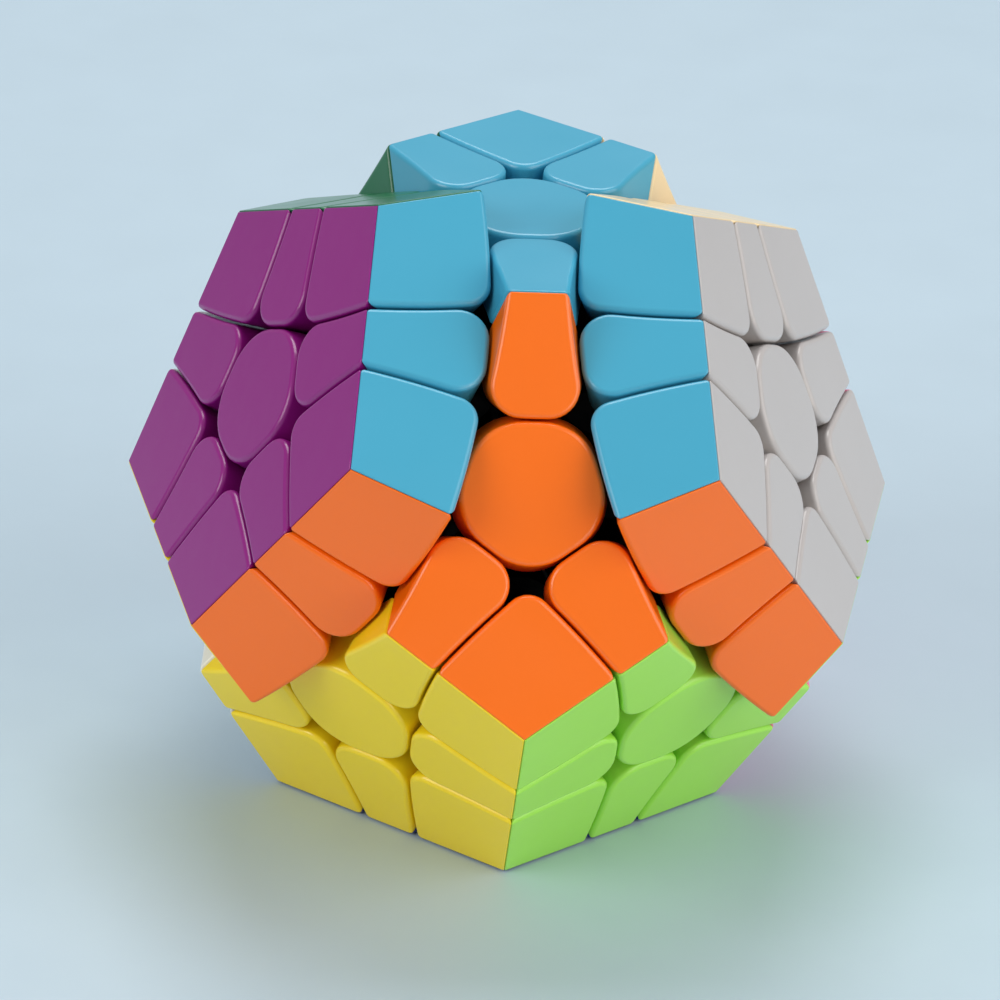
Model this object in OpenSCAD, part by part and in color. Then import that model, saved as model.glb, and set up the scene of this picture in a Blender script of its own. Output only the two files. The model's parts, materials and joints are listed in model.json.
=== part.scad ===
// Dodecahedron twisty puzzle: twelve coloured faces, each of which turns about its own screw.
// Every outer piece is made of coloured hollow shells over a black insert, whose foot runs
// between its neighbours' feet round a ball core. Layers are parted by shallow cones about
// the face axes, so a layer clears the rest of the puzzle at every angle.

/* [Size] */
// Length of one edge of the dodecahedron
edge_len = 35; // [34:0.5:36]
// How deep the coloured shells run below a face
shell_depth = 6.5; // [6:0.25:7]

/* [Fit] */
// Gap between neighbouring pieces
gap = 0.3; // [0.25:0.05:0.35]
// Thickness of the coloured shells
wall = 1.6; // [1.4:0.1:1.7]

/* [Rounding] */
// Radius of the corner pieces' inner uprights
corner_round = 3; // [2.6:0.1:3.4]
// Radius of the edge pieces' inner uprights
edge_round = 3.8; // [3.3:0.1:4]
// Radius of the face centres' uprights
centre_round = 7; // [6:0.2:7.4]
// Flat steps in each rounded upright
round_steps = 3; // [2:1:3]

/* [Pose] */
// How far the left face is turned, in degrees
left_turn = -45; // [-180:1:180]
// How far the right face is turned, in degrees
right_turn = 45; // [-180:1:180]

/* [Hidden] */
// Faces in order: the top, the upper ring of five, the lower ring of five and the bottom
face_names = ["sky_blue", "orange", "grey", "cream", "green", "purple",
              "lime", "pink", "red", "white", "yellow", "dark_blue"];
face_colours = [[0.27, 0.67, 0.84], [1, 0.42, 0.1], [0.74, 0.74, 0.74], [0.97, 0.86, 0.6],
                [0.1, 0.5, 0.3], [0.52, 0.18, 0.49], [0.53, 0.83, 0.3], [0.97, 0.55, 0.7],
                [0.83, 0.1, 0.12], [0.94, 0.94, 0.93], [0.93, 0.83, 0.2], [0.1, 0.22, 0.6]];
black = [0.07, 0.07, 0.08];
steel = [0.72, 0.72, 0.74];

// Faces whose layers turn as bodies of their own; every other piece stays with the core
left_face = 5;
right_face = 2;
bottom_face = 11;
core = -1;
layer_faces = [left_face, right_face, bottom_face];
layers = [core, left_face, right_face, bottom_face];
layer_names = ["core", "left", "right", "bottom"];

// Angle between neighbouring face axes, and distance from the middle to a face
face_tilt = acos(1 / sqrt(5));
fifth_turn = 360 / 5;
least_neighbour_dot = 0.4;
in_radius = edge_len / 2 * sqrt((25 + 11 * sqrt(5)) / 10);

// Inner parts are measured for the usual edge length and grow with it
usual_edge = 35;
unit_size = edge_len / usual_edge;

// The cone that parts a layer from the rest: its tip's height on the axis and its slope
cone_tip = 0.39 * edge_len;
cone_slope = 0.37;
cone_length = sqrt(1 + cone_slope * cone_slope);
half_gap = gap / 2;
shell_low = in_radius - shell_depth;
seam_wall = 0.8;
least_round = 0.5;
centre_reach = 0.3 * edge_len;

// Steps of the search for a point where sides meet, and for the nearest point of one side
meet_steps = 6;
onto_steps = 3;

// Facets of balls and of small round parts
ball_facets = 96;
small_facets = 48;

// How far one shape runs into another that it joins, and how far a cut runs past a surface
overlap = 0.5;
over_cut = 1;

// Flat steps in a rounded upright, and points along a side, for the shells and for the inserts
shell_detail = [round_steps, 2];
insert_detail = [1, 1];

// Kinds of side that a tile has: a colour seam, its own layer's cone or a neighbour's cone
seam = 0;
own_cone = 1;
other_cone = -1;

// Inserts: how far the head stays inside the shells, and half the width both ways of the neck,
// of the stem where it meets the foot, and of the foot's lower side
head_inset = 1;
neck_level = 28.5 * unit_size;
corner_neck = [3.3, 3.3] * unit_size;
edge_neck = [3.6, 4.6] * unit_size;
corner_stem = [2.1, 2.1] * unit_size;
edge_stem = [2.6, 2.9] * unit_size;
corner_foot = [3.7, 3.7] * unit_size;
edge_foot = [5.5, 3.1] * unit_size;

// The feet lie between the core ball and the foot ball, and grow outwards by this ratio
foot_ball = 24 * unit_size;
core_ball = 19.3 * unit_size;
foot_high = foot_ball - half_gap;
foot_low = core_ball + half_gap;
stem_low = foot_ball + half_gap;
corner_foot_growth = [1.2, 1.2];
edge_foot_growth = [1.2, 1];

// Bases of the face centres
base_column = 4.4 * unit_size;
base_shoulder = 8 * unit_size;
base_flange = 8.7 * unit_size;
flange_low = shell_low - 4;
base_boss = 5.2 * unit_size;
flare_low = 22.8 * unit_size;
pocket_radius = 3.2;
pocket_floor = 21.6 * unit_size;
screw_hole = 1.4;

// Screws, washers and springs
screw_radius = 1.2;
screw_tip = 12 * unit_size;
screw_head_radius = 2.7;
screw_head_height = 1.8;
screw_head_low = 31 * unit_size;
slot_width = 0.8;
slot_length = 3.6;
slot_depth = 1;
washer_thick = 0.4;
washer_radius = 3;
washer_level = pocket_floor + 0.03;
wire_radius = 0.32;
coil_radius = 2.3;
coil_turns = 3;
coil_steps = 6;
wire_sides = 4;

// Core
core_cavity = 10.5 * unit_size;
core_bore = 1.25;
bore_start = core_cavity - 2;

function polar(tilt, azimuth) = [sin(tilt) * sin(azimuth), -sin(tilt) * cos(azimuth), cos(tilt)];
function face_axis(f) =
    f == 0 ? [0, 0, 1] :
    f <= 5 ? polar(face_tilt, fifth_turn * (f - 1)) :
    f <= 10 ? polar(180 - face_tilt, fifth_turn * (f - 5.5)) : [0, 0, -1];
function unit(v) = v / norm(v);
function adjacent(f, g) = f != g && face_axis(f) * face_axis(g) > least_neighbour_dot;
function has(list, x) = len([for (v = list) if (v == x) v]) > 0;
function without(list, x) = [for (v = list) if (v != x) v];
function reversed(list) = [for (i = [len(list) - 1 : -1 : 0]) list[i]];
function layer_of(piece) =
    let (hits = [for (f = layer_faces) if (has(piece, f)) f]) len(hits) > 0 ? hits[0] : core;
function layer_name(layer) = layer_names[search([layer], layers)[0]];
function turn_of(layer) = layer == left_face ? left_turn : layer == right_face ? right_turn : 0;

faces = [for (f = [0 : 11]) f];
edge_pieces = [for (f = faces) for (g = faces) if (f < g && adjacent(f, g)) [f, g]];
corner_pieces = [for (e = edge_pieces) for (h = faces)
                 if (e[1] < h && adjacent(e[0], h) && adjacent(e[1], h)) [e[0], e[1], h]];
core_faces = [for (f = faces) if (!has(layer_faces, f)) f];

// Neighbours of a face that follow one another anticlockwise, seen from outside
function follows(f, g, h) = adjacent(g, h) && face_axis(f) * cross(face_axis(g), face_axis(h)) > 0;
function neighbours(f) = [for (g = faces) if (adjacent(f, g)) g];
function next_round(f, g) = [for (h = neighbours(f)) if (follows(f, g, h)) h][0];
function last_round(f, g) = [for (h = neighbours(f)) if (follows(f, h, g)) h][0];
function ring_round(f, g, count) =
    count == 1 ? [g] : concat([g], ring_round(f, next_round(f, g), count - 1));
function axis_sum(piece, i = 0) =
    i == len(piece) - 1 ? face_axis(piece[i]) : face_axis(piece[i]) + axis_sum(piece, i + 1);
function piece_axis(piece) = unit(axis_sum(piece));

// A side is [kind, axis, inset]: its value at a point is how far inside it the point lies
function cone_value(axis, p) =
    let (z = p * axis) (z - cone_slope * norm(p - z * axis) - cone_tip) / cone_length;
function cone_gradient(axis, p) =
    let (z = p * axis) (axis - cone_slope * unit(p - z * axis)) / cone_length;
function side_value(side, p) =
    (side[0] == seam ? p * side[1] : side[0] * cone_value(side[1], p)) - side[2];
function side_gradient(side, p) = side[0] == seam ? side[1] : side[0] * cone_gradient(side[1], p);

// The point at one level of a face where two sides meet
function meet(axis, level, side1, side2, p, steps = meet_steps) =
    let (g1 = side_gradient(side1, p), g2 = side_gradient(side2, p),
         move = ((level - p * axis) * cross(g1, g2) - side_value(side1, p) * cross(g2, axis)
                 - side_value(side2, p) * cross(axis, g1)) / (axis * cross(g1, g2)))
    steps == 1 ? p + move : meet(axis, level, side1, side2, p + move, steps - 1);
function flat_gradient(axis, side, p) = let (g = side_gradient(side, p)) g - (g * axis) * axis;
function onto(axis, side, p, steps = onto_steps) =
    let (g = flat_gradient(axis, side, p), q = p - side_value(side, p) * g / (g * g))
    steps == 1 ? q : onto(axis, side, q, steps - 1);

// A sharp or rounded corner between two sides; an arc's middle is a radius in from both of them
function drawn_in(axis, side, p, radius) =
    [side[0], side[1], side[2] + radius * norm(flat_gradient(axis, side, p))];
function rounded(axis, side1, side2, p, radius, steps) =
    radius == 0 ? [p] :
    let (middle = meet(axis, p * axis, drawn_in(axis, side1, p, radius),
                       drawn_in(axis, side2, p, radius), p),
         n1 = unit(flat_gradient(axis, side1, middle)), n2 = unit(flat_gradient(axis, side2, middle)),
         spread = acos(n1 * n2))
    [for (i = [0 : steps]) let (a = spread * i / steps)
     middle - radius * (n1 * sin(spread - a) + n2 * sin(a)) / sin(spread)];
function along_side(axis, side, p, q, points) =
    [for (i = [1 : points]) onto(axis, side, p + (q - p) * i / (points + 1))];

// Points along a row of sides at one level: sharp at both ends and rounded between them
function run(axis, level, sides, start, radius, detail) =
    let (last = len(sides) - 2,
         corners = [for (i = [0 : last])
                    rounded(axis, sides[i], sides[i + 1], meet(axis, level, sides[i], sides[i + 1], start),
                            i == 0 || i == last ? 0 : radius, detail[0])])
    [for (i = [0 : last]) each concat(
        i == 0 ? [] : along_side(axis, sides[i], corners[i - 1][len(corners[i - 1]) - 1],
                                  corners[i][0], detail[1]),
        corners[i])];

// Sides of a corner or edge piece's tile, anticlockwise from one colour seam to the other
function seam_side(f, g, inset) = [seam, unit(face_axis(f) - face_axis(g)), inset];
function cone_side(kind, f, inset) = [kind, face_axis(f), half_gap + inset];
function corner_pair(piece, f) =
    let (others = without(piece, f)) follows(f, others[0], others[1]) ? others : reversed(others);
function tile_sides(piece, f, inset, seam_inset) =
    len(piece) == 3 ?
        let (pair = corner_pair(piece, f))
        [seam_side(f, pair[1], seam_inset), cone_side(own_cone, pair[0], inset),
         cone_side(own_cone, pair[1], inset), seam_side(f, pair[0], seam_inset)] :
        let (g = without(piece, f)[0])
        [seam_side(f, g, seam_inset), cone_side(other_cone, next_round(f, g), inset),
         cone_side(own_cone, g, inset), cone_side(other_cone, last_round(f, g), inset),
         seam_side(f, g, seam_inset)];
function tile_start(piece, f, level) = let (u = piece_axis(piece)) u * level / (u * face_axis(f));
function tile_run(piece, f, level, inset, seam_inset, radius, detail) =
    run(face_axis(f), level, tile_sides(piece, f, inset, seam_inset), tile_start(piece, f, level),
        radius, detail);
function tile_tip(piece, f, level, seam_inset) =
    let (pair = corner_pair(piece, f))
    meet(face_axis(f), level, seam_side(f, pair[0], seam_inset), seam_side(f, pair[1], seam_inset),
         tile_start(piece, f, level));
function tile_outline(piece, f, level, inset, seam_inset, radius) =
    concat(tile_run(piece, f, level, inset, seam_inset, radius, shell_detail),
           len(piece) == 3 ? [tile_tip(piece, f, level, seam_inset)] : []);

// Outline of a face centre at one level, rounded at all five corners
function centre_outline(f, level, inset, radius) =
    let (axis = face_axis(f), ring = ring_round(f, neighbours(f)[0], 5),
         sides = [for (g = ring) cone_side(other_cone, g, inset)],
         corners = [for (i = [0 : 4])
                    let (j = (i + 1) % 5, between = face_axis(ring[i]) + face_axis(ring[j]),
                         start = level * axis + centre_reach * unit(between - (between * axis) * axis))
                    rounded(axis, sides[i], sides[j], meet(axis, level, sides[i], sides[j], start), radius,
                            round_steps)])
    [for (i = [0 : 4]) each concat(
        along_side(axis, sides[i], corners[(i + 4) % 5][round_steps], corners[i][0], shell_detail[1]),
        corners[i])];

// Faces of a band between two neighbouring rings of points, and a solid made of several rings
function band(n, upper, lower) =
    [for (i = [0 : n - 1]) let (j = (i + 1) % n)
     each [[upper + i, upper + j, lower + j], [upper + i, lower + j, lower + i]]];
module solid_of_rings(rings) {
    n = len(rings[0]);
    last = len(rings) - 1;
    polyhedron([for (ring = rings) each ring],
               concat([[for (i = [n - 1 : -1 : 0]) i]],
                      [for (k = [0 : last - 1]) each band(n, k * n, (k + 1) * n)],
                      [[for (i = [0 : n - 1]) last * n + i]]));
}

module orient(axis) rotate([0, acos(axis.z), atan2(axis.y, axis.x)]) children();

module turned(layer) {
    translate([0, 0, in_radius])
        if (layer == core) children();
        else rotate(a = turn_of(layer), v = face_axis(layer)) children();
}

// ---- Coloured shells: cups, open towards the core ----

module tile_shell(piece, f) {
    radius = len(piece) == 3 ? corner_round : edge_round;
    inner = max(radius - wall, least_round);
    solid_of_rings([
        tile_outline(piece, f, in_radius, 0, 0, radius),
        tile_outline(piece, f, shell_low, 0, 0, radius),
        tile_outline(piece, f, shell_low, wall, seam_wall, inner),
        tile_outline(piece, f, in_radius - wall, wall, seam_wall, inner)]);
}

module centre_cap(f) {
    inner = centre_round - wall;
    solid_of_rings([
        centre_outline(f, in_radius, 0, centre_round),
        centre_outline(f, shell_low, 0, centre_round),
        centre_outline(f, shell_low, wall, inner),
        centre_outline(f, in_radius - wall, wall, inner)]);
}

// ---- Black inserts: a head under the shells, a stem and a foot, as rings round one axis ----

// A ring of points in some directions from an axis, at one level or on a ball
function level_ring(ways, frame, half, level) =
    [for (d = ways) half.x * d.x * frame[0] + half.y * d.y * frame[1] + level * frame[2]];
function ball_ring(ways, frame, half, ball) =
    [for (d = ways) let (w = half.x * d.x * frame[0] + half.y * d.y * frame[1])
     w + sqrt(ball * ball - w * w) * frame[2]];
function scaled(half, ratio) = [half.x * ratio.x, half.y * ratio.y];

module insert(piece, radius, neck, stem, foot, growth) {
    corner = len(piece) == 3;
    u = piece_axis(piece);
    x = corner ? unit(cross(u, face_axis(piece[0]))) : unit(face_axis(piece[1]) - face_axis(piece[0]));
    frame = [x, cross(u, x), u];
    order = corner ? concat([piece[0]], corner_pair(piece, piece[0])) : piece;
    runs = [for (f = order) tile_run(piece, f, shell_low, head_inset, 0, radius, insert_detail)];
    upper = [for (r = runs) each [for (i = [0 : len(r) - 2]) r[i]]];
    n = len(upper);
    part = n / len(order);
    ways = [for (p = upper) unit([p * frame[0], p * frame[1]])];
    rings = [upper, level_ring(ways, frame, neck, neck_level), ball_ring(ways, frame, stem, foot_high),
             ball_ring(ways, frame, scaled(foot, growth), foot_high),
             level_ring(ways, frame, foot, foot_low)];
    last = len(rings) - 1;
    tip = corner ? [tile_start(piece, piece[0], shell_low)] : [];
    tops = [for (k = [0 : len(order) - 1])
            concat(corner ? [len(rings) * n] : [], [for (i = [part : -1 : 0]) (k * part + i) % n])];
    polyhedron(concat([for (ring = rings) each ring], tip),
               concat(tops, [for (k = [0 : last - 1]) each band(n, k * n, (k + 1) * n)],
                      [[for (i = [0 : n - 1]) last * n + i]]));
}

module corner_insert(piece)
    insert(piece, corner_round, corner_neck, corner_stem, corner_foot, corner_foot_growth);
module edge_insert(piece) insert(piece, edge_round, edge_neck, edge_stem, edge_foot, edge_foot_growth);

// ---- Bases of the face centres: a column, a spring pocket and a flange under the cap ----

module centre_base(f) {
    orient(face_axis(f)) rotate_extrude($fn = ball_facets) polygon([
        [screw_hole, foot_low], [base_column, foot_low],
        [base_column, sqrt(pow(stem_low, 2) - pow(base_column, 2))],
        [base_shoulder, flare_low], [base_flange, flange_low], [base_flange, shell_low],
        [base_boss, shell_low], [base_boss, in_radius - wall],
        [pocket_radius, in_radius - wall], [pocket_radius, pocket_floor], [screw_hole, pocket_floor]]);
}

// ---- Screw, washers and spring of one face ----

module screw(f) {
    slot_floor = screw_head_low + screw_head_height - slot_depth;
    orient(face_axis(f)) difference() {
        union() {
            translate([0, 0, screw_tip])
                cylinder(h = screw_head_low - screw_tip + overlap, r = screw_radius, $fn = small_facets);
            translate([0, 0, screw_head_low])
                cylinder(h = screw_head_height, r = screw_head_radius, $fn = small_facets);
        }
        for (across = [[slot_width, slot_length], [slot_length, slot_width]])
            translate([-across.x / 2, -across.y / 2, slot_floor])
                cube([across.x, across.y, slot_depth + over_cut]);
    }
}

module washer(f, level)
    orient(face_axis(f)) translate([0, 0, level]) difference() {
        cylinder(h = washer_thick, r = washer_radius, $fn = small_facets);
        translate([0, 0, -over_cut])
            cylinder(h = washer_thick + 2 * over_cut, r = screw_hole, $fn = small_facets);
    }

// A coil as rings of points joined side by side, closed at both ends
module spring(f) {
    low = washer_level + washer_thick + wire_radius;
    high = screw_head_low - washer_thick - wire_radius;
    steps = coil_turns * coil_steps;
    orient(face_axis(f)) solid_of_rings([
        for (i = [0 : steps]) let (a = -360 * i / coil_steps)
        [for (k = [0 : wire_sides - 1])
         let (b = 360 * k / wire_sides, r = coil_radius + wire_radius * cos(b))
         [r * cos(a), r * sin(a), low + (high - low) * i / steps + wire_radius * sin(b)]]]);
}

// ---- Core: two halves of a thick hollow ball with a bore for each screw ----

module core_half(up) {
    difference() {
        intersection() {
            sphere(r = core_ball, $fn = ball_facets);
            translate([0, 0, up * edge_len]) cube(2 * edge_len, center = true);
        }
        sphere(r = core_cavity, $fn = ball_facets);
        for (f = faces) if (face_axis(f).z * up > 0)
            orient(face_axis(f)) translate([0, 0, bore_start])
                cylinder(h = core_ball, r = core_bore, $fn = small_facets);
    }
}

// ---- Groups of pieces ----

module tile_shells(pieces, f, layer) color(face_colours[f]) turned(layer)
    for (p = pieces) if (has(p, f) && layer_of(p) == layer) tile_shell(p, f);
module corner_inserts(layer) color(black) turned(layer)
    for (p = corner_pieces) if (layer_of(p) == layer) corner_insert(p);
module edge_inserts(layer) color(black) turned(layer)
    for (p = edge_pieces) if (layer_of(p) == layer) edge_insert(p);
module centre_bases(layer) color(black) turned(layer)
    for (f = faces) if (layer_of([f]) == layer) centre_base(f);
module cap_of(f) color(face_colours[f]) turned(layer_of([f])) centre_cap(f);
module core_upper_half() color(black) turned(core) core_half(1);
module core_lower_half() color(black) turned(core) core_half(-1);
module face_screws() color(steel) turned(core) for (f = faces) screw(f);
module face_springs() color(steel) turned(core) for (f = faces) spring(f);
module spring_washers() color(steel) turned(core) for (f = faces) {
    washer(f, washer_level);
    washer(f, screw_head_low - washer_thick);
}

core_upper_half();
core_lower_half();
face_screws();
spring_washers();
face_springs();
for (l = layers) {
    centre_bases(l);
    edge_inserts(l);
    corner_inserts(l);
}
for (f = faces)
    cap_of(f);
for (l = layer_faces) {
    tile_shells(corner_pieces, l, l);
    tile_shells(edge_pieces, l, l);
    for (f = neighbours(l))
        tile_shells(concat(corner_pieces, edge_pieces), f, l);
}
for (f = core_faces)
    tile_shells(concat(corner_pieces, edge_pieces), f, core);
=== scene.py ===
"""Looks of the dodecahedron twisty puzzle: a moulded plastic shell for every coloured tile,
with rounded uprights and rims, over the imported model's black inserts and steel fittings."""

import json
from math import acos, cos, pi, radians, sin, sqrt

import bpy
from mathutils import Matrix, Vector


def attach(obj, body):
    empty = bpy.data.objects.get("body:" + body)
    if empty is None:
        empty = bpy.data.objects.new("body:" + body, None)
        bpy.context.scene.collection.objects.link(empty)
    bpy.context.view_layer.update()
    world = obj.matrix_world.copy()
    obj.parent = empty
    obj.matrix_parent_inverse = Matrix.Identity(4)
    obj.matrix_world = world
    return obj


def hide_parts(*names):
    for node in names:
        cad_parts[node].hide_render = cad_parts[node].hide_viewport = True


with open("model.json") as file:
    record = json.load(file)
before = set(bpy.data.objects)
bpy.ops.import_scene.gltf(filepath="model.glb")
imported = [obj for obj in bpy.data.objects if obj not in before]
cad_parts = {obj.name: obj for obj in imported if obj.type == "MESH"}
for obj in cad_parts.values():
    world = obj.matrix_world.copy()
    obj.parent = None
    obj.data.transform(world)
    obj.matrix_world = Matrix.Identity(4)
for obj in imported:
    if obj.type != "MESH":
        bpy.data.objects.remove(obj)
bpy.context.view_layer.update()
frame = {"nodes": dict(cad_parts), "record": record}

MM = 0.001

# ---- The puzzle's measures, in millimetres, as the CAD model has them ----

EDGE = 35.0
# from the core's middle to each face
IN_RADIUS = EDGE / 2 * sqrt((25 + 11 * sqrt(5)) / 10)
FACE_TILT = acos(1 / sqrt(5))
CENTRE = Vector((0, 0, IN_RADIUS))
CONE_TIP = 0.39 * EDGE      # how far the layer cones' tips lie from the core's middle
CONE_SLOPE = 0.37
CONE_LENGTH = sqrt(1 + CONE_SLOPE**2)
HALF_GAP = 0.15
SHELL_DEPTH = 6.5
SHELL_LOW = IN_RADIUS - SHELL_DEPTH
WALL = 1.6
SEAM_WALL = 0.8
CORNER_ROUND = 3.0
EDGE_ROUND = 3.8
CENTRE_ROUND = 7.0
SEAM_END_ROUND = 0.7
CAP_REACH = 0.3 * EDGE      # about how far the cap's corners lie from its middle
REST_TURN = {"left": -45, "right": 45}

# ---- Mesh detail: rounded rims, points round each upright and along each side ----

RIM = 0.7
SEAM_RIM = 0.14
SEAM_GAP = 0.015
RIM_DEPTHS = (0, 0.02, 0.06, 0.12, 0.2, 0.31, 0.45, 0.62, 0.78)
WALL_STEPS = 4
UPRIGHT_STEPS = 9
SIDE_POINTS = 7
SMALLEST_ROUND = 0.35
SHARP_ANGLE = radians(38)
MEET_STEPS = 6
ONTO_STEPS = 3
MIDDLE_STEPS = 2

# ---- Faces: the top, the upper ring of five, the lower ring of five and the bottom ----

FACES = ("sky_blue", "orange", "grey", "cream", "green", "purple",
         "lime", "pink", "red", "white", "yellow", "dark_blue")
LAYERS = {"left": 5, "right": 2, "bottom": 11}
COLOURS = {"sky_blue": (0.055, 0.365, 0.535), "orange": (0.98, 0.165, 0.002),
           "grey": (0.51, 0.475, 0.46), "cream": (0.9, 0.7, 0.4),
           "green": (0.008, 0.15, 0.055), "purple": (0.275, 0.006, 0.2),
           "lime": (0.385, 0.82, 0.08), "pink": (0.9, 0.24, 0.42),
           "red": (0.62, 0.006, 0.012), "white": (0.84, 0.84, 0.83),
           "yellow": (1.0, 0.73, 0.012), "dark_blue": (0.008, 0.03, 0.3)}

# Two neighbouring faces' axes are 63 degrees apart, and the next nearest are 117.
NEIGHBOUR_COSINE = 0.4

# Kinds of side. For a cone it is also the sign that makes its inside positive.
SEAM, OWN_CONE, OTHER_CONE = 0, 1, -1


def polar(tilt, azimuth):
    """A unit vector tilted from straight up, at an azimuth anticlockwise from -Y."""
    return Vector((sin(tilt) * sin(azimuth), -sin(tilt) * cos(azimuth), cos(tilt)))


AXES = ([Vector((0, 0, 1))]
        + [polar(FACE_TILT, radians(72 * i)) for i in range(5)]
        + [polar(pi - FACE_TILT, radians(72 * i + 36)) for i in range(5)]
        + [Vector((0, 0, -1))])


def adjacent(f, g):
    return f != g and AXES[f].dot(AXES[g]) > NEIGHBOUR_COSINE


def neighbours(f):
    return [g for g in range(12) if adjacent(f, g)]


def next_round(f, g):
    """The neighbour of f that follows g anticlockwise, seen from outside."""
    return next(h for h in neighbours(f)
                if adjacent(g, h) and AXES[f].dot(AXES[g].cross(AXES[h])) > 0)


def layer_of(piece):
    """The turning layer of a piece, given as the faces it is on."""
    return next((name for name, f in LAYERS.items() if f in piece), "core")


EDGES = [(f, g) for f in range(12) for g in range(f + 1, 12) if adjacent(f, g)]
CORNERS = [(f, g, h) for f, g in EDGES for h in range(g + 1, 12)
           if adjacent(f, h) and adjacent(g, h)]

# ---- Sides of a tile: a colour seam, its own layer's cone or a neighbour's cone ----


def side_value(side, p):
    """How far inside a side the point p lies."""
    kind, axis, inset = side
    if kind == SEAM:
        return p.dot(axis) - inset
    z = p.dot(axis)
    return kind * (z - CONE_SLOPE * (p - z * axis).length - CONE_TIP) / CONE_LENGTH - inset


def side_gradient(side, p):
    """Which way is further inside a side at p."""
    kind, axis, _ = side
    if kind == SEAM:
        return axis
    out = p - p.dot(axis) * axis
    return kind * (axis - CONE_SLOPE * out.normalized()) / CONE_LENGTH


def meet(level, side1, side2, p):
    """The point at one level above the core, on +Z, where two sides meet."""
    up = Vector((0, 0, 1))
    for _ in range(MEET_STEPS):
        g1, g2 = side_gradient(side1, p), side_gradient(side2, p)
        across = g1.cross(g2)
        p = p + ((level - p.z) * across - side_value(side1, p) * g2.cross(up)
                 - side_value(side2, p) * up.cross(g1)) / across.z
    return p


def flat(v):
    """v without its height."""
    return Vector((v.x, v.y, 0))


def onto(side, p):
    """p moved level on to a side."""
    for _ in range(ONTO_STEPS):
        g = flat(side_gradient(side, p))
        p = p - side_value(side, p) * g / g.length_squared
    return p


def rounded(side1, side2, p, radius):
    """An arc in place of the corner p between two sides; its middle is a radius in from both."""
    middle = p
    for _ in range(MIDDLE_STEPS):
        drawn = [(*side[:2], side[2] + radius * flat(side_gradient(side, middle)).length)
                 for side in (side1, side2)]
        middle = meet(p.z, *drawn, p)
    n1 = flat(side_gradient(side1, middle)).normalized()
    n2 = flat(side_gradient(side2, middle)).normalized()
    spread = n1.angle(n2)
    return [middle - radius * (n1 * sin(spread - a) + n2 * sin(a)) / sin(spread)
            for a in (spread * i / UPRIGHT_STEPS for i in range(UPRIGHT_STEPS + 1))]


def along(side, p, q):
    """Points of a side between p and q."""
    return [onto(side, p.lerp(q, i / (SIDE_POINTS + 1))) for i in range(1, SIDE_POINTS + 1)]


def rim_inset(side, depth, p, radius):
    """How far a side draws in at a depth below the face, on the round of its rim."""
    if depth >= radius * 2:
        return 0
    outward = -side_gradient(side, p)
    between = acos(max(-1, min(1, outward.z)))
    turned = acos(1 - depth / radius)
    return radius * (1 - cos(between - turned)) if turned < between else 0


def outline(sides, starts, rounds, level, depth=None, insets=(0, 0)):
    """A closed outline at one level, drawn in by its rim at a depth, or by insets.
    The insets are one for the cones and one for the seams."""
    drawn = []
    for kind, axis, inset in sides:
        extra = insets[1] if kind == SEAM else insets[0]
        if depth is not None:
            rim = SEAM_RIM if kind == SEAM else RIM
            extra += rim_inset((kind, axis, inset), depth, starts[0], rim)
        drawn.append((kind, axis, inset + extra))
    shrink = max(d[2] - s[2] for d, s in zip(drawn, sides))
    n = len(sides)
    corners = []
    for i in range(n):
        side1, side2 = drawn[i], drawn[(i + 1) % n]
        p = meet(level, side1, side2, starts[i] * level / starts[i].z)
        radius = max(rounds[i] - shrink, SMALLEST_ROUND) if rounds[i] else 0
        corners.append(rounded(side1, side2, p, radius) if radius else [p])
    return [p for i in range(n)
            for p in along(drawn[i], corners[i - 1][-1], corners[i][0]) + corners[i]]


def shell_rings(sides, starts, rounds):
    """Rings of points from the rim at the face, down the outside and up the hollow inside."""
    shape = (sides, starts, rounds)
    rings = [outline(*shape, IN_RADIUS - d, depth=d) for d in RIM_DEPTHS]
    for i in range(1, WALL_STEPS + 1):
        depth = RIM_DEPTHS[-1] + (SHELL_DEPTH - RIM_DEPTHS[-1]) * i / WALL_STEPS
        rings.append(outline(*shape, IN_RADIUS - depth))
    hollow = (WALL, SEAM_WALL)
    rings.append(outline(*shape, SHELL_LOW, insets=hollow))
    rings.append(outline(*shape, IN_RADIUS - WALL, insets=hollow))
    return rings


# ---- The three shapes of shell, made once under the top face and its first neighbour ----


def seam_side(g):
    return (SEAM, (AXES[0] - AXES[g]).normalized(), SEAM_GAP)


def cone(kind, g):
    return (kind, AXES[g], HALF_GAP)


def corner_shape():
    """The top face's tile on the corner between its first two neighbours."""
    first = 1
    second = next_round(0, first)
    sides = [seam_side(first), seam_side(second),
             cone(OWN_CONE, first), cone(OWN_CONE, second)]
    start = AXES[0] + AXES[first] + AXES[second]
    return shell_rings(sides, [start] * 4, [0, SEAM_END_ROUND, CORNER_ROUND, SEAM_END_ROUND])


def edge_shape():
    """The top face's tile on its edge with its first neighbour."""
    g = 1
    after = next_round(0, g)
    before = next(h for h in neighbours(0) if next_round(0, h) == g)
    sides = [seam_side(g), cone(OTHER_CONE, after), cone(OWN_CONE, g), cone(OTHER_CONE, before)]
    start = AXES[0] + AXES[g]
    return shell_rings(sides, [start] * 4, [SEAM_END_ROUND, EDGE_ROUND, EDGE_ROUND, SEAM_END_ROUND])


def centre_shape():
    """The top face's cap, cut by the cones of its five neighbours."""
    ring = [1]
    while len(ring) < 5:
        ring.append(next_round(0, ring[-1]))
    sides = [cone(OTHER_CONE, g) for g in ring]
    starts = []
    for i in range(5):
        between = flat(AXES[ring[i]] + AXES[ring[(i + 1) % 5]]).normalized()
        starts.append(CENTRE + CAP_REACH * between)
    return shell_rings(sides, starts, [CENTRE_ROUND] * 5)


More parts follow.
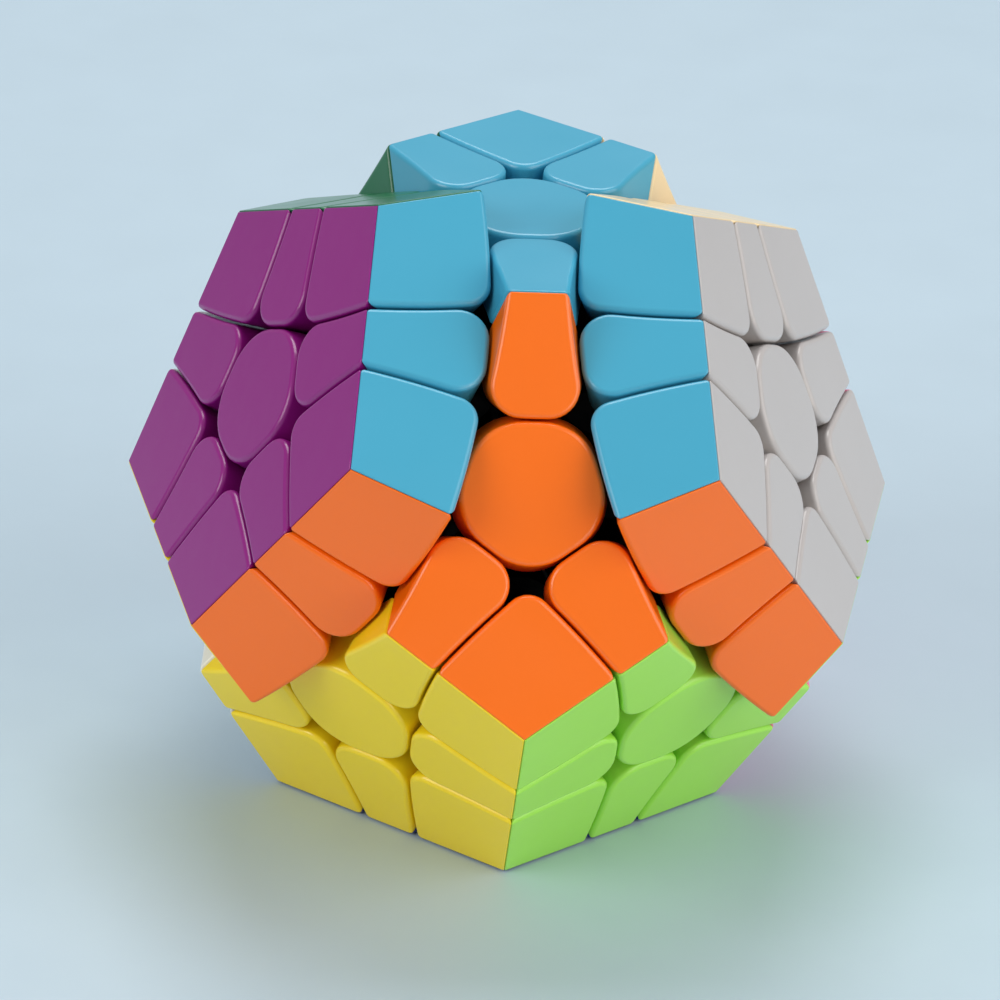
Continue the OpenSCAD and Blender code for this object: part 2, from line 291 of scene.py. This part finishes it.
def place(f, g):
    """The turn that takes the top face to face f, and its first neighbour to f's neighbour g."""
    def basis(a, b):
        x = (b - b.dot(a) * a).normalized()
        return Matrix((x, a.cross(x), a)).transposed()
    return basis(AXES[f], AXES[g]) @ basis(AXES[0], AXES[1]).transposed()


def rest_matrix(layer):
    """The turn of a layer at rest, about its face axis."""
    if layer not in LAYERS:
        return Matrix.Identity(3)
    return Matrix.Rotation(radians(REST_TURN.get(layer, 0)), 3, AXES[LAYERS[layer]])


def add_shell(verts, faces, rings, matrix):
    """Adds one hollow shell: bands between its rings, closed by its top and its ceiling."""
    start = len(verts)
    n = len(rings[0])
    for ring in rings:
        verts += [((matrix @ p) + CENTRE) * MM for p in ring]
    faces.append([start + i for i in range(n)])
    for k in range(len(rings) - 1):
        upper, lower = start + k * n, start + (k + 1) * n
        faces += [(upper + i, lower + i, lower + (i + 1) % n, upper + (i + 1) % n)
                  for i in range(n)]
    last = start + (len(rings) - 1) * n
    faces.append([last + i for i in reversed(range(n))])


def shells(name, node, parts, material, body):
    """One piece of shells, each given as (rings, matrix), in place of a CAD node."""
    verts, faces = [], []
    for rings, matrix in parts:
        add_shell(verts, faces, rings, matrix)
    mesh = bpy.data.meshes.new(name)
    mesh.from_pydata(verts, [], faces)
    mesh.materials.append(material)
    mesh.shade_smooth()
    mesh.set_sharp_from_angle(angle=SHARP_ANGLE)
    piece = bpy.data.objects.new(name, mesh)
    bpy.context.scene.collection.objects.link(piece)
    weighted = piece.modifiers.new("even_shading", "WEIGHTED_NORMAL")
    weighted.keep_sharp = True
    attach(piece, body)
    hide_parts(node)


# ---- Materials. Noise scales are in waves to a metre, a bump's height is in metres ----

NOISE_DETAIL = 3.0
NOISE_LOW, NOISE_HIGH = 0.3, 0.7    # where most of a noise's values lie
TINT_SCALE = 55.0
TINT_SPREAD = 0.03
GLOSS_SCALE = 90.0
GLOSS_SPREAD = (0.9, 1.12)
WAVE_SCALE = 260.0
WAVE_DETAIL = 1.0
WAVE_STRENGTH = 0.3
WAVE_HEIGHT = 0.0001
PLASTIC_IOR = 1.5
COAT_ROUGHNESS = 0.14

# A glossier range, from 0.24 to 0.30, left thin lines on the tiles in renders.
SHELL_ROUGHNESS = 0.31
SHELL_COAT = 0.35
INSERT_COLOUR = (0.012, 0.012, 0.014)
INSERT_ROUGHNESS = 0.5

STEEL_SCALE = 700.0
STEEL_DULL = (0.5, 0.5, 0.52)
STEEL_BRIGHT = (0.68, 0.68, 0.7)
STEEL_ROUGHNESS = (0.29, 0.42)


def new_material(name):
    """A material, with its nodes, its links, its shader and the object's own coordinates."""
    material = bpy.data.materials.new(name)
    material.use_nodes = True
    nodes, links = material.node_tree.nodes, material.node_tree.links
    coords = nodes.new("ShaderNodeTexCoord")
    return material, nodes, links, nodes["Principled BSDF"], coords


def noise(nodes, links, coords, scale, detail=NOISE_DETAIL):
    tex = nodes.new("ShaderNodeTexNoise")
    tex.inputs["Scale"].default_value = scale
    tex.inputs["Detail"].default_value = detail
    links.new(coords.outputs["Object"], tex.inputs["Vector"])
    return tex


def uneven_gloss(nodes, links, shader, tex, low, high):
    """Roughness that wanders between low and high."""
    out = nodes.new("ShaderNodeMapRange")
    out.inputs["From Min"].default_value = NOISE_LOW
    out.inputs["From Max"].default_value = NOISE_HIGH
    out.inputs["To Min"].default_value = low
    out.inputs["To Max"].default_value = high
    links.new(tex.outputs["Fac"], out.inputs["Value"])
    links.new(out.outputs["Result"], shader.inputs["Roughness"])


def uneven_colour(nodes, links, shader, tex, dark, light):
    """Colour that wanders between dark and light."""
    mix = nodes.new("ShaderNodeMix")
    mix.data_type = "RGBA"
    mix.inputs["A"].default_value = (*dark, 1)
    mix.inputs["B"].default_value = (*light, 1)
    links.new(tex.outputs["Fac"], mix.inputs["Factor"])
    links.new(mix.outputs["Result"], shader.inputs["Base Color"])


def moulded_plastic(name, colour, roughness, coat=0.0):
    """Smooth plastic: faintly uneven colour and gloss, and the broad waves of a moulding."""
    material, nodes, links, shader, coords = new_material(name)
    dark = [c * (1 - TINT_SPREAD) for c in colour]
    light = [min(1, c * (1 + TINT_SPREAD)) for c in colour]
    uneven_colour(nodes, links, shader, noise(nodes, links, coords, TINT_SCALE), dark, light)
    low, high = (roughness * spread for spread in GLOSS_SPREAD)
    uneven_gloss(nodes, links, shader, noise(nodes, links, coords, GLOSS_SCALE), low, high)
    waves = noise(nodes, links, coords, WAVE_SCALE, WAVE_DETAIL)
    bump = nodes.new("ShaderNodeBump")
    bump.inputs["Strength"].default_value = WAVE_STRENGTH
    bump.inputs["Distance"].default_value = WAVE_HEIGHT
    links.new(waves.outputs["Fac"], bump.inputs["Height"])
    links.new(bump.outputs["Normal"], shader.inputs["Normal"])
    shader.inputs["IOR"].default_value = PLASTIC_IOR
    shader.inputs["Coat Weight"].default_value = coat
    shader.inputs["Coat Roughness"].default_value = COAT_ROUGHNESS
    return material


def plated_steel():
    """Bright plating, with faint smears."""
    material, nodes, links, shader, coords = new_material("plated_steel")
    shader.inputs["Metallic"].default_value = 1.0
    smear = noise(nodes, links, coords, STEEL_SCALE)
    uneven_colour(nodes, links, shader, smear, STEEL_DULL, STEEL_BRIGHT)
    uneven_gloss(nodes, links, shader, smear, *STEEL_ROUGHNESS)
    return material


# ---- The puzzle ----

PLASTIC = {name: moulded_plastic(name + "_plastic", COLOURS[name], SHELL_ROUGHNESS, SHELL_COAT)
           for name in FACES}
BLACK = moulded_plastic("black_plastic", INSERT_COLOUR, INSERT_ROUGHNESS)
STEEL = plated_steel()

CORNER_RINGS = corner_shape()
EDGE_RINGS = edge_shape()
CENTRE_RINGS = centre_shape()


def tile_parts(pieces, f, layer):
    """Shells of face f in the given pieces of one layer, as (rings, matrix)."""
    parts = []
    for piece in pieces:
        if f not in piece or layer_of(piece) != layer:
            continue
        others = [g for g in piece if g != f]
        if len(piece) == 3:
            first = others[0] if next_round(f, others[0]) == others[1] else others[1]
            parts.append((CORNER_RINGS, rest_matrix(layer) @ place(f, first)))
        else:
            parts.append((EDGE_RINGS, rest_matrix(layer) @ place(f, others[0])))
    return parts


def body_name(layer):
    return "core_block" if layer == "core" else layer + "_layer"


def coloured(node, parts, f, layer):
    """The shells of face f that take the place of one CAD node."""
    name = node.replace("shells", "tiles") + "_moulded"
    shells(name, node, parts, PLASTIC[FACES[f]], body_name(layer))


for f, name in enumerate(FACES):
    home = layer_of((f,))
    cap = [(CENTRE_RINGS, rest_matrix(home) @ place(f, neighbours(f)[0]))]
    coloured(f"{name}_centre_cap", cap, f, home)
    if home == "core":
        coloured(f"core_shells_{name}", tile_parts(CORNERS + EDGES, f, "core"), f, "core")
for layer, turned in LAYERS.items():
    coloured(f"{FACES[turned]}_corner_shells", tile_parts(CORNERS, turned, layer), turned, layer)
    coloured(f"{FACES[turned]}_edge_shells", tile_parts(EDGES, turned, layer), turned, layer)
    for f in neighbours(turned):
        coloured(f"{layer}_strip_{FACES[f]}", tile_parts(CORNERS + EDGES, f, layer), f, layer)

for row in frame["record"]["subparts"]:
    finish = {"black_plastic": BLACK, "steel": STEEL}.get(row["material_slot"])
    if finish:
        mesh = frame["nodes"][row["node"]].data
        mesh.materials.clear()
        mesh.materials.append(finish)

# ---- Floor, light and camera, in metres. Azimuths run from the front, to the right ----

FLOOR_SIZE = 12.0
FLOOR_DROP = 0.0002
FLOOR_COLOUR = (0.46, 0.58, 0.66)
FLOOR_ROUGHNESS = 0.6

WORLD_COLOUR = (0.94, 0.96, 1.0)
WORLD_STRENGTH = 0.3

WHITE_LIGHT = (1, 1, 1)
WARM_LIGHT = (1, 0.86, 0.7)
# name, azimuth and elevation in degrees, distance, size, power in watts, colour
LIGHTS = (("key", 62, 32, 0.9, 0.9, 4.8, WHITE_LIGHT),
          ("fill", -58, 30, 0.95, 0.6, 3.9, WHITE_LIGHT),
          ("back", 180, 62, 0.9, 0.6, 5.0, WHITE_LIGHT),
          ("low", 34, 3, 1.2, 0.6, 3.4, WARM_LIGHT))

CAMERA_AZIMUTH = radians(-4.11)
CAMERA_ELEVATION = radians(27.83)
CAMERA_ROLL = radians(3.6)
CAMERA_DISTANCE = 0.6867
CAMERA_OFFSET = (-0.00131, -0.0019)
CAMERA_LENS = 195.0
CAMERA_CLIP = (0.01, 40)


def floor():
    bpy.ops.mesh.primitive_plane_add(size=FLOOR_SIZE, location=(0, 0, -FLOOR_DROP))
    plane = bpy.context.object
    plane.name = "floor"
    plane.data.materials.append(moulded_plastic("pale_floor", FLOOR_COLOUR, FLOOR_ROUGHNESS))


def surroundings():
    world = bpy.data.worlds.new("studio")
    world.use_nodes = True
    background = world.node_tree.nodes["Background"]
    background.inputs["Color"].default_value = (*WORLD_COLOUR, 1)
    background.inputs["Strength"].default_value = WORLD_STRENGTH
    bpy.context.scene.world = world


def soft_light(name, azimuth, elevation, distance, size, power, colour):
    """A square light that faces the puzzle's middle."""
    back = polar(radians(90 - elevation), radians(azimuth))
    data = bpy.data.lights.new(name, "AREA")
    data.size = size
    data.energy = power
    data.color = colour
    lamp = bpy.data.objects.new(name, data)
    lamp.location = CENTRE * MM + back * distance
    lamp.rotation_mode = "QUATERNION"
    lamp.rotation_quaternion = (-back).to_track_quat("-Z", "Y")
    bpy.context.scene.collection.objects.link(lamp)


def camera():
    """The photograph's camera, with its roll and its small shift sideways and up."""
    back = polar(pi / 2 - CAMERA_ELEVATION, CAMERA_AZIMUTH)
    level = Vector((cos(CAMERA_AZIMUTH), sin(CAMERA_AZIMUTH), 0))
    upright = back.cross(level)
    right = level * cos(CAMERA_ROLL) + upright * sin(CAMERA_ROLL)
    up = upright * cos(CAMERA_ROLL) - level * sin(CAMERA_ROLL)
    across, above = CAMERA_OFFSET
    place_at = CENTRE * MM + back * CAMERA_DISTANCE + level * across + upright * above
    data = bpy.data.cameras.new("camera")
    data.lens = CAMERA_LENS
    data.clip_start, data.clip_end = CAMERA_CLIP
    eye = bpy.data.objects.new("camera", data)
    turn = Matrix((right, up, back)).transposed().to_4x4()
    eye.matrix_world = Matrix.Translation(place_at) @ turn
    bpy.context.scene.collection.objects.link(eye)
    bpy.context.scene.camera = eye


floor()
surroundings()
for light in LIGHTS:
    soft_light(*light)
bpy.context.scene.view_settings.view_transform = "Standard"
camera()
